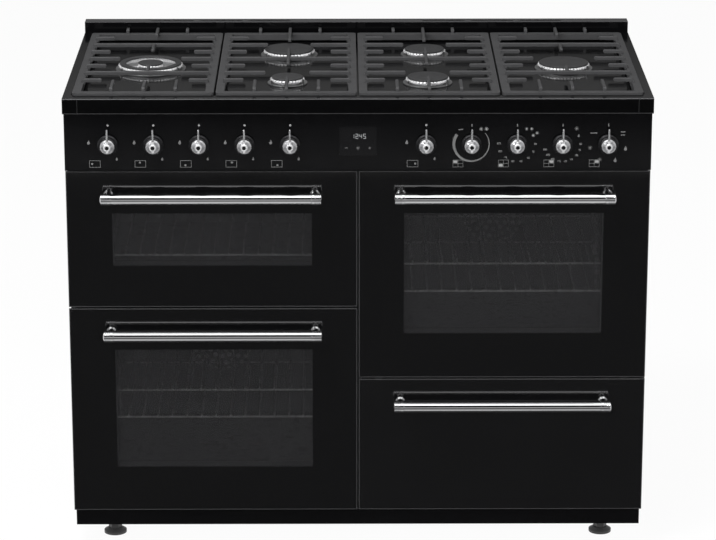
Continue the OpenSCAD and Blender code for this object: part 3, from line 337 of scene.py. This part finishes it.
def galvanised():
    look = Look("galvanised", Metallic=1.0)
    spangle = look.spots(55)
    look.set(Base_Color=look.blend(spangle, (0.50, 0.51, 0.52), (0.66, 0.67, 0.68)),
             Roughness=look.between(spangle, 0.34, 0.52, 0.0, 0.6))
    look.surface(look.noise(300), 0.02 * MM, edge=0.6 * MM)
    return look.mat


def oven_enamel():
    """Dark grey vitreous enamel with pale specks."""
    look = Look("oven_enamel", Specular_IOR_Level=0.35)
    speck = look.between(look.spots(420), 1.0, 0.0, 0.08, 0.16)
    look.set(Base_Color=look.blend(speck, (0.085, 0.086, 0.09), (0.30, 0.31, 0.32)),
             Roughness=look.between(look.noise(80), 0.24, 0.36))
    look.surface(look.noise(500), 0.02 * MM)
    return look.mat


WINDOW_ALPHA = 0.32


def door_glass(name, window):
    """Glass printed black on its back, with a clear rectangle that shows the oven and a painted highlight
    on its edge.
    """
    look = Look(name, Specular_IOR_Level=0.8)
    (x0, z0), (x1, z1) = window
    x, z = look.axis("X"), look.axis("Z")
    edge = 0.4 * MM
    inside = None
    for value, low, high in ((x, x0, x1), (z, z0, z1)):
        for test in (look.between(value, 0, 1, low - edge, low + edge),
                     look.between(value, 1, 0, high - edge, high + edge)):
            inside = test if inside is None else look.math("MULTIPLY", inside, test)
    # The clear rectangle's grey tone: partly the tint's own, partly painted light for the lit oven seen
    # through it
    tone = look.blend(inside, (0.0020, 0.0020, 0.0022), (0.021, 0.021, 0.022))
    # A painted highlight on the glass's thin edge
    look.set(Base_Color=look.blend(face_edge(look, name), tone, EDGE_HIGHLIGHT_TONE),
             Roughness=look.between(look.noise(20), 0.03, 0.06),
             Alpha=look.between(inside, 1.0, WINDOW_ALPHA, 0, 1))
    look.surface(look.noise(3, 1), 0.02 * MM, edge=0.9 * MM)
    look.mat.surface_render_method = "DITHERED"
    return look.mat


def plain(name, color, rough, metal=0.0, grain=600, depth=0.03):
    look = Look(name, Metallic=metal)
    dark = tuple(c * 0.75 for c in color)
    look.set(Base_Color=look.blend(look.noise(60), color, dark),
             Roughness=look.between(look.noise(grain), rough * 0.85, rough * 1.15))
    look.surface(look.noise(grain), depth * MM)
    return look.mat


def printed_mark(name, tone, glow=0.0):
    look = Look(name, Roughness=0.5, Specular_IOR_Level=0.2)
    look.set(Base_Color=look.blend(look.noise(900), (tone,) * 3, (tone * 0.8,) * 3))
    if glow:
        look.set(Emission_Color=(0.85, 0.93, 1.0, 1), Emission_Strength=glow)
    return look.mat


def dress(material, *names):
    for name in names:
        slots = NODES[name].data.materials
        slots.clear()
        slots.append(material)


# How far each inner pane laps past its window, as the CAD has it
PANE_OVERLAP = 11.5 * MM


def window_of(door):
    """The clear rectangle of a door's glass: the smaller inner pane less its overlap."""
    glass = NODES[f"{door}_door_glass"]
    lo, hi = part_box(f"{door}_door_glass")
    inner_y = hi.y
    inner = [v.co for v in glass.data.vertices if abs(v.co.y - inner_y) < 0.1 * MM]
    xs = [c.x for c in inner]
    zs = [c.z for c in inner]
    return ((min(xs) + PANE_OVERLAP, min(zs) + PANE_OVERLAP),
            (max(xs) - PANE_OVERLAP, max(zs) - PANE_OVERLAP))


def dress_nodes():
    dress(black_enamel("gloss_enamel", 0.3, ENAMEL_TONES, (0.03, 0.07)),
          "side_panels", "plinth", "control_panel")
    # The upstand, with a painted highlight on its top
    dress(black_enamel("upstand_enamel", 0.3, ENAMEL_TONES, (0.05, 0.10), upstand_top, UPSTAND_TOP_HIGHLIGHT),
          "rear_upstand")
    # The drawer's face, with a painted highlight on its edge
    dress(black_enamel("drawer_enamel", 0.8, DRAWER_TONES, (0.05, 0.09), drawer_edge, EDGE_HIGHLIGHT_TONE),
          "drawer_front")
    dress(plain("frame_enamel", (0.02, 0.02, 0.021), 0.4), "front_frame", "grill_door_frame",
          "left_door_frame", "right_door_frame")
    dress(hob_enamel(), "worktop")
    dress(galvanised(), "back_panel", "base_pan", "drawer_runners", "hinge_brackets")
    dress(plain("drawer_paint", (0.045, 0.045, 0.047), 0.45), "drawer_box")
    dress(oven_enamel(), "grill_oven_cavity", "left_oven_cavity", "right_oven_cavity")
    dress(plain("cover_enamel", (0.040, 0.040, 0.042), 0.4), "fan_covers")
    dress(plain("foot_steel", (0.03, 0.03, 0.03), 0.45), "levelling_feet")
    dress(plain("clock_window", (0.0030, 0.0030, 0.0034), 0.1, grain=200, depth=0.005), "clock")
    dress(plain("door_seal", (0.05, 0.05, 0.05), 0.85, grain=1500, depth=0.4), "door_seals")
    dress(rack_wire(), "oven_racks")
    dress(alloy("burner_alloy", 0.86, 0.22, metal=0.5), "burner_crowns")
    dress(alloy("burner_cup", 0.34, 0.35), "burner_cups")
    dress(cap_enamel(), "burner_caps")
    dress(plain("brass", (0.70, 0.50, 0.22), 0.3, 1.0),
          "gas_rail", *[f"tap_plug_{k}" for k in GAS_KNOBS])
    dress(plain("control_body", (0.62, 0.62, 0.58), 0.5), "oven_controls")
    dress(plain("element_sheath", (0.16, 0.15, 0.15), 0.45, 0.6), "heating_elements")
    dress(alloy("fan_steel", 0.55, 0.35), "fan_motors", "left_oven_fan", "right_oven_fan")
    for door in ("grill", "left", "right"):
        name = f"{door}_door_glass"
        dress(door_glass(name, window_of(door)), name)
    dress(brushed_bar(), "grill_door_handle", "left_door_handle", "right_door_handle", "drawer_handle")
    dress(cast_iron(), *[f"pan_support_{s}" for s in ("far_left", "mid_left", "mid_right", "far_right")])
    for k in range(1, 11):
        dress(knob_metal(knob_axis(k)), f"knob_{k}")


# Flat printed marks on the panel, built as thin prisms in front elevation
class Marks:
    """Prints in one material on one face of the fixed body."""

    def __init__(self, name, y, material):
        self.name, self.y, self.material = name, y, material
        self.mesh = bmesh.new()

    def shape(self, outline):
        """A prism of an outline of (x, z) points."""
        front = [self.mesh.verts.new((x, self.y - PRINT_T, z)) for x, z in outline]
        back = [self.mesh.verts.new((x, self.y, z)) for x, z in outline]
        count = len(outline)
        self.mesh.faces.new(front)
        self.mesh.faces.new(back[::-1])
        for i in range(count):
            j = (i + 1) % count
            self.mesh.faces.new((front[i], back[i], back[j], front[j]))

    def disc(self, x, z, r, count=20):
        self.shape([(x + r * math.cos(a), z + r * math.sin(a)) for a in turn(count)])

    def arc(self, x, z, r, start, end, w0, w1, count=36):
        """A band from one clock angle to another whose width changes along it."""
        for i in range(count):
            quad = []
            for step, side in ((i, -1), (i + 1, -1), (i + 1, 1), (i, 1)):
                t = step / count
                w = w0 + (w1 - w0) * t
                quad.append(clock_point(x, z, r + side * w / 2, start + (end - start) * t))
            self.shape(quad)

    def frame(self, x, z, w, h, line):
        for x0, x1, z0, z1 in ((-w, w, -h, -h + 2 * line), (-w, w, h - 2 * line, h),
                               (-w, -w + 2 * line, -h + 2 * line, h - 2 * line),
                               (w - 2 * line, w, -h + 2 * line, h - 2 * line)):
            self.rect(x + x0 / 2, x + x1 / 2, z + z0 / 2, z + z1 / 2)

    def rect(self, x0, x1, z0, z1):
        self.shape([(x0, z0), (x1, z0), (x1, z1), (x0, z1)])

    def flame(self, x, z, h):
        """A drop with a point at the top, leaning a little at its tip."""
        half = h * 0.32
        outline = [(x + half * math.sin(a), z - h * 0.2 - half * math.cos(a))
                   for a in steps(-1.9, 1.9, 14)]
        outline.append((x + h * 0.06, z + h * 0.5))
        self.shape(outline)

    def bar(self, x, z, length, width, angle):
        c, s = math.cos(angle), math.sin(angle)
        self.shape([(x + u * length / 2 * c - v * width / 2 * s,
                     z + u * length / 2 * s + v * width / 2 * c)
                    for u, v in ((-1, -1), (1, -1), (1, 1), (-1, 1))])

    def number(self, x, z, value, height):
        """Plain seven-stroke figures, centred on x and z."""
        text = str(value)
        width, gap, line = height * 0.52, height * 0.24, height * 0.13
        left = x - (len(text) * width + (len(text) - 1) * gap) / 2
        for i, digit in enumerate(text):
            x0 = left + i * (width + gap)
            for name in STROKES[digit]:
                self.stroke(name, x0, z, width, height, line)

    def stroke(self, name, x0, z, width, height, line):
        mid = z + {"top": 0.5, "middle": 0.0, "bottom": -0.5}.get(name, 0) * (height - line)
        if name in ("top", "middle", "bottom"):
            self.rect(x0, x0 + width, mid - line / 2, mid + line / 2)
            return
        side, level = name
        x1 = x0 if side == "l" else x0 + width - line
        low = z - height / 2 + line if level == "b" else z + line / 2
        high = z - line / 2 if level == "b" else z + height / 2 - line
        self.rect(x1, x1 + line, low, high)

    def finish(self):
        data = bpy.data.meshes.new(self.name)
        bmesh.ops.recalc_face_normals(self.mesh, faces=self.mesh.faces)
        self.mesh.to_mesh(data)
        self.mesh.free()
        data.materials.append(self.material)
        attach(new_object(self.name, data), "root")


STROKES = {
    "0": ("top", "bottom", "lt", "lb", "rt", "rb"),
    "1": ("rt", "rb"),
    "2": ("top", "middle", "bottom", "rt", "lb"),
    "3": ("top", "middle", "bottom", "rt", "rb"),
    "4": ("middle", "lt", "rt", "rb"),
    "5": ("top", "middle", "bottom", "lt", "rb"),
    "6": ("top", "middle", "bottom", "lt", "lb", "rb"),
    "7": ("top", "rt", "rb"),
    "8": ("top", "middle", "bottom", "lt", "lb", "rt", "rb"),
    "9": ("top", "middle", "bottom", "lt", "rt", "rb"),
}


def turn(count):
    return [2 * math.pi * i / count for i in range(count)]


def steps(start, end, count):
    return [start + (end - start) * i / (count - 1) for i in range(count)]


def clock_point(x, z, r, degrees):
    """A point at a clock angle, 0 at the top and clockwise."""
    a = math.radians(degrees)
    return (x + r * math.sin(a), z + r * math.cos(a))


# Places of the prints, from a knob's axis to the right and up, and their sizes
DOT_AT = (0.5 * MM, 36.5 * MM)
DOT_R = 2.1 * MM
TICK_AT = (0.4 * MM, 35.9 * MM)
FLAME_AT = (-36 * MM, 4.2 * MM)
FLAME_H = 8.5 * MM
LOW_FLAME_AT = (16 * MM, -27.7 * MM)
LOW_FLAME_H = 6.5 * MM
ICON_AT = (-25 * MM, -37.6 * MM)
HOB_ICON = (21 * MM, 13.5 * MM)
OVEN_ICON = (19.5 * MM, 14 * MM)
OVEN_ICON_LINE = 0.35 * MM
OVEN_ICON_INSET = 1.2 * MM
SCALE_R = 33 * MM
FIGURES_R = SCALE_R + 1 * MM
FIGURE_H = 3.3 * MM
FIRST_FIGURE = 50
FIGURE_STEP = 25

# Where each gas knob's burner lies in its icon, as shares of the icon's half width and height
BURNER_SPOTS = {1: (-0.6, 0), 2: (-0.1, 0.4), 3: (-0.1, -0.4), 4: (0.15, 0.4), 5: (0.15, -0.4), 6: (0.6, 0)}

# Which quarter of the cooker each oven knob works
OVEN_SPOTS = {7: (-1, 1), 8: (-1, -1), 9: (1, 1), 10: (1, 1)}


def beside(axis_at, offset):
    return axis_at.x + offset[0], axis_at.z + offset[1]


def panel_print():
    marks = Marks("panel_marks", PANEL_Y, printed_mark("panel_print", 0.22))
    icons = Marks("panel_icons", PANEL_Y, printed_mark("panel_print_soft", 0.11))
    for k in GAS_KNOBS:
        gas_marks(marks, icons, k)
    for k in OVEN_KNOBS:
        oven_icon(marks, icons, k)
    grill, left, right, function = (knob_axis(k) for k in OVEN_KNOBS)
    grill_scale(marks, icons, grill)
    oven_scale(marks, left, end=272, count=8)
    for dx, dz in ((17.5, 29), (27, 29), (37, 21), (30, 16.5)):
        lamp_sign(marks, left.x + dx * MM, left.z + dz * MM, 2.6 * MM)
    oven_scale(marks, right, end=252, count=9)
    lamp_sign(icons, right.x + 26 * MM, right.z + 29.5 * MM, 3.3 * MM)
    icons.flame(right.x + 30 * MM, right.z + 16.2 * MM, 6 * MM)
    function_signs(icons, function)
    marks.finish()
    icons.finish()


def gas_marks(marks, icons, k):
    """A dot over the knob, a full and a low flame, and the burner that the knob works."""
    c = knob_axis(k)
    marks.disc(*beside(c, DOT_AT), DOT_R)
    icons.flame(*beside(c, FLAME_AT), FLAME_H)
    icons.flame(*beside(c, LOW_FLAME_AT), LOW_FLAME_H)
    x, z = beside(c, ICON_AT)
    w, h = HOB_ICON
    icons.frame(x, z, w, h, 0.8 * MM)
    u, v = BURNER_SPOTS[k]
    icons.disc(x + u * w / 2 * 0.8, z + v * h / 2, 2.0 * MM)


def oven_icon(marks, icons, k):
    """A tick over the knob, and a box in quarters with the knob's own quarter filled."""
    c = knob_axis(k)
    x, z = beside(c, ICON_AT)
    w, h = OVEN_ICON
    line, inset = OVEN_ICON_LINE, OVEN_ICON_INSET
    icons.frame(x, z, w, h, 2 * line)
    icons.rect(x - line, x + line, z - h / 2, z + h / 2)
    icons.rect(x - w / 2, x + w / 2, z - line, z + line)
    u, v = OVEN_SPOTS[k]
    marks.rect(*sorted((x + u * inset, x + u * (w / 2 - inset))),
               *sorted((z + v * inset, z + v * (h / 2 - inset))))
    icons.bar(*beside(c, TICK_AT), 5.2 * MM, 2.2 * MM, math.pi / 2)


def grill_scale(marks, icons, c):
    """A band that narrows from full heat round to off."""
    icons.arc(c.x, c.z, SCALE_R, 304, 185, 6.0 * MM, 3.4 * MM)
    icons.arc(c.x, c.z, SCALE_R, 185, 50, 3.4 * MM, 1.2 * MM)
    for dx in (18, 27.5):
        lamp_sign(marks, c.x + dx * MM, c.z + 29 * MM, 3.0 * MM)
    icons.bar(c.x - 20 * MM, c.z + 28 * MM, 9 * MM, 1.8 * MM, 0.1)


def lamp_sign(marks, x, z, r):
    marks.disc(x, z, r * 0.55)
    for a in turn(8):
        marks.bar(x + r * math.cos(a), z + r * math.sin(a), r * 0.5, r * 0.22, a)


def oven_scale(marks, c, end, count):
    """Figures for the temperature, from the right of the dial clockwise to an end angle."""
    start = 90
    for i in range(count):
        x, z = clock_point(c.x, c.z, FIGURES_R, start + (end - start) * i / (count - 1))
        marks.number(x, z, FIRST_FIGURE + FIGURE_STEP * i, FIGURE_H)


def function_signs(icons, c):
    """Generic oven signs at even steps round the dial: bars, drops for steam and heat, and fans."""
    kinds = ("bars", "drop", "drop", "fan", "fan", "long")
    for i, kind in enumerate(kinds):
        x, z = clock_point(c.x, c.z, FIGURES_R, 54 + 50.8 * i)
        if kind == "drop":
            icons.flame(x, z, 9 * MM)
        elif kind == "fan":
            lamp_sign(icons, x, z, 3.4 * MM)
        elif kind == "long":
            icons.bar(x, z, 13 * MM, 2.0 * MM, 0)
        else:
            for dz in (-3, 3):
                icons.bar(x, z + dz * MM, 8 * MM, 1.8 * MM, 0)


# The clock's figures and touch signs
FIGURE_DROP = 17.5 * MM
CLOCK_FIGURE_H = 9.5 * MM
SIGN_DROP = 22.5 * MM
SIGN_PITCH = 22 * MM
SIGN_L = 5 * MM


def clock_face():
    """Plain figures and three touch signs behind the clock's window."""
    figures = Marks("clock_figures", CLOCK_LO.y, printed_mark("clock_glow", 0.14, glow=0.08))
    signs = Marks("clock_signs", CLOCK_LO.y, printed_mark("clock_signs", 0.10))
    mid_x = (CLOCK_LO.x + CLOCK_HI.x) / 2
    z = clock_top() - FIGURE_DROP
    figures.number(mid_x - 5.8 * MM, z, 12, CLOCK_FIGURE_H)
    figures.number(mid_x + 8.6 * MM, z, 45, CLOCK_FIGURE_H)
    for dz in (-1.8, 1.8):
        figures.disc(mid_x + 1.4 * MM, z + dz * MM, 0.6 * MM)
    low = z - SIGN_DROP
    signs.bar(mid_x - SIGN_PITCH, low, SIGN_L, 1 * MM, 0)
    lamp_sign(signs, mid_x, low, 3.0 * MM)
    for angle in (0, math.pi / 2):
        signs.bar(mid_x + SIGN_PITCH, low, SIGN_L, 1 * MM, angle)
    figures.finish()
    signs.finish()


def clock_top():
    """The top of the clock's window: the front face of the clock's mesh."""
    return max(v.co.z for v in NODES["clock"].data.vertices if v.co.y < CLOCK_LO.y + 0.1 * MM)


def vent_baffle():
    """Painted shade: a dark sheet inside the upstand, under its vents, where there is only shade."""
    lo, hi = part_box("rear_upstand")
    middle = Vector(((lo.x + hi.x) / 2, (lo.y + hi.y) / 2, hi.z - 20 * MM))
    size = Vector((hi.x - lo.x - 6 * MM, hi.y - lo.y - 6 * MM, 1 * MM))
    mesh = bmesh.new()
    bmesh.ops.create_cube(mesh, size=1, matrix=Matrix.Translation(middle) @ Matrix.Diagonal((*size, 1)))
    data = bpy.data.meshes.new("vent_baffle")
    mesh.to_mesh(data)
    mesh.free()
    # Painted shade in the vents
    data.materials.append(plain("shade_sheet", (0.004, 0.004, 0.004), 0.7))
    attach(new_object("vent_baffle", data), "root")


# Floor and world, white to the camera and grey as a source of light
FLOOR_HALF = 14
FLOOR_WHITE = 0.94
WORLD_LEVEL = 0.45


def seen_rays(tree):
    """1 for rays that see a surface, straight, mirrored or through glass, and 0 for its light."""
    path = tree.nodes.new("ShaderNodeLightPath")
    seen = path.outputs["Is Camera Ray"]
    for name in ("Is Glossy Ray", "Is Transmission Ray"):
        either = tree.nodes.new("ShaderNodeMath")
        either.operation = "MAXIMUM"
        tree.links.new(seen, either.inputs[0])
        tree.links.new(path.outputs[name], either.inputs[1])
        seen = either.outputs[0]
    return seen


def add_floor():
    mesh = bpy.data.meshes.new("floor")
    half = FLOOR_HALF
    mesh.from_pydata([(-half, -half, 0), (half, -half, 0), (half, half, 0), (-half, half, 0)],
                     [], [(0, 1, 2, 3)])
    look = Look("floor", Roughness=0.9, Specular_IOR_Level=0.1)
    look.set(Base_Color=look.blend(look.noise(2), (0.86, 0.86, 0.86), (0.84, 0.84, 0.84)))
    glow = look.add("ShaderNodeEmission", Color=(1, 1, 1, 1), Strength=1.0)
    mix = look.tree.nodes.new("ShaderNodeMixShader")
    look.feed(mix.inputs[0], look.math("MULTIPLY", seen_rays(look.tree), FLOOR_WHITE))
    look.feed(mix.inputs[1], look.bsdf.outputs[0])
    look.feed(mix.inputs[2], glow.outputs[0])
    look.feed(look.tree.nodes["Material Output"].inputs["Surface"], mix.outputs[0])
    mesh.materials.append(look.mat)
    new_object("floor", mesh)


def add_world():
    world = bpy.data.worlds.new("studio")
    bpy.context.scene.world = world
    world.use_nodes = True
    tree = world.node_tree
    level = tree.nodes.new("ShaderNodeMapRange")
    tree.links.new(seen_rays(tree), level.inputs["Value"])
    level.inputs["To Min"].default_value = WORLD_LEVEL
    level.inputs["To Max"].default_value = 1.0
    back = tree.nodes["Background"]
    tree.links.new(level.outputs[0], back.inputs["Strength"])
    back.inputs["Color"].default_value = (1, 1, 1, 1)


def area_light(name, at, target, size, power):
    data = bpy.data.lights.new(name, "AREA")
    data.shape = "RECTANGLE"
    data.size, data.size_y = size
    data.energy = power
    lamp = new_object(name, data)
    lamp.location = at
    aim(lamp, Vector(target) - Vector(at))
    return lamp


def studio_card(name, corners, levels, axis="Y"):
    """A card that only reflections see. Levels are pairs of a place along an axis and a brightness."""
    mesh = bpy.data.meshes.new(name)
    mesh.from_pydata(corners, [], [(0, 1, 2, 3)])
    card = new_object(name, mesh)
    look = Look(name)
    at = look.axis(axis)
    total = levels[0][1]
    for (start, level0), (end, level1) in zip(levels, levels[1:]):
        total = look.math("ADD", total, look.between(at, 0, level1 - level0, start, end))
    glow = look.add("ShaderNodeEmission", Color=(1, 1, 1, 1), Strength=total)
    look.feed(look.tree.nodes["Material Output"].inputs["Surface"], glow.outputs[0])
    mesh.materials.append(look.mat)
    card.visible_camera = False
    card.visible_diffuse = False
    card.visible_shadow = False
    card.visible_transmission = False


def flat_card(name, half, z, y_near, y_far, levels):
    corners = [(-half, y_far, z), (half, y_far, z), (half, y_near, z), (-half, y_near, z)]
    studio_card(name, corners, levels)


def wall_card(name, half, y, low, high, levels):
    corners = [(-half, y, low), (half, y, low), (half, y, high), (-half, y, high)]
    studio_card(name, corners, levels, axis="Z")


def cards():
    """What the cooker mirrors: a dark floor, a dark band over the horizon, a softbox and a grey wall."""
    flat_card("floor_card", 5, 0.004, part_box("plinth")[0].y, -8,
              [(-0.4, 0.07), (-3.02, 0.06), (-3.14, 0.30), (-3.7, 0.03), (-3.95, 0.03), (-4.5, 0.45)])
    wall_card("horizon_card", 8, -8, 0, 2.2, [(0, 0.5)])
    wall_card("front_card", 8, -8, 2.2, 10.5, [(0, 0.01)])
    flat_card("ceiling_card", 3, 4.0, 0.3, -2.9, [(0, 2.6)])
    wall_card("back_card", 4, 2.5, 0.6, 3.5, [(1.38, 0.08), (1.58, 0.25)])


def lights():
    """Place, target, size and power of each lamp. Front and side lamps aren't mirrored."""
    area_light("key", (-1.4, -1.7, 4.2), (0, 0, 0.6), (1.6, 0.9), 130)
    area_light("front", (-0.6, -4.2, 1.9), (0, 0, 0.6), (2.4, 0.8), 90).visible_glossy = False
    area_light("side", (3.0, -2.4, 1.6), (0.2, 0, 0.5), (0.8, 1.8), 50).visible_glossy = False
    area_light("glint", (-2.5, -2.8, 2.7), (0, -0.3, 0.8), (0.35, 0.35), 40)
    low = area_light("low", (0, -1.4, 0.01), (0, -1.4, 1), (4.0, 1.9), 11)
    low.data.spread = math.radians(134)


add_camera()
dress_nodes()
panel_print()
clock_face()
vent_baffle()
add_floor()
add_world()
cards()
lights()
bpy.context.scene.view_settings.view_transform = "Standard"
